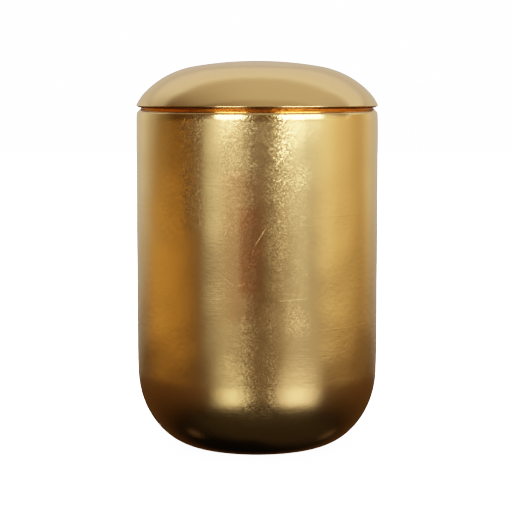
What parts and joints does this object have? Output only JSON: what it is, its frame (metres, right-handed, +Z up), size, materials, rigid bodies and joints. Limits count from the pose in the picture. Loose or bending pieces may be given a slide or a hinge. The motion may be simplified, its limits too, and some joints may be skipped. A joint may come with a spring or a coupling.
{
  "type": "cremation urn",
  "caption": "Round straight-sided cremation urn with a wide rounded bottom corner and a shallow domed lift-off lid, finished in gold leaf.",
  "frame": {"origin": "centre of the flat underside that the urn stands on", "axes": "+Z up along the turning axis; the urn is round, so X and Y are free"},
  "size_m": [0.1802, 0.1802, 0.2882],
  "materials": {
    "gold_leaf": "loose gold leaf laid over a moulded shell, satin, with laps, fine creases and scratches",
    "burnished_gold": "gold leaf rubbed smooth, soft gloss"
  },
  "bodies": {
    "root": {"urn_body": "gold_leaf", "lid": "burnished_gold"}
  },
  "joints": []
}
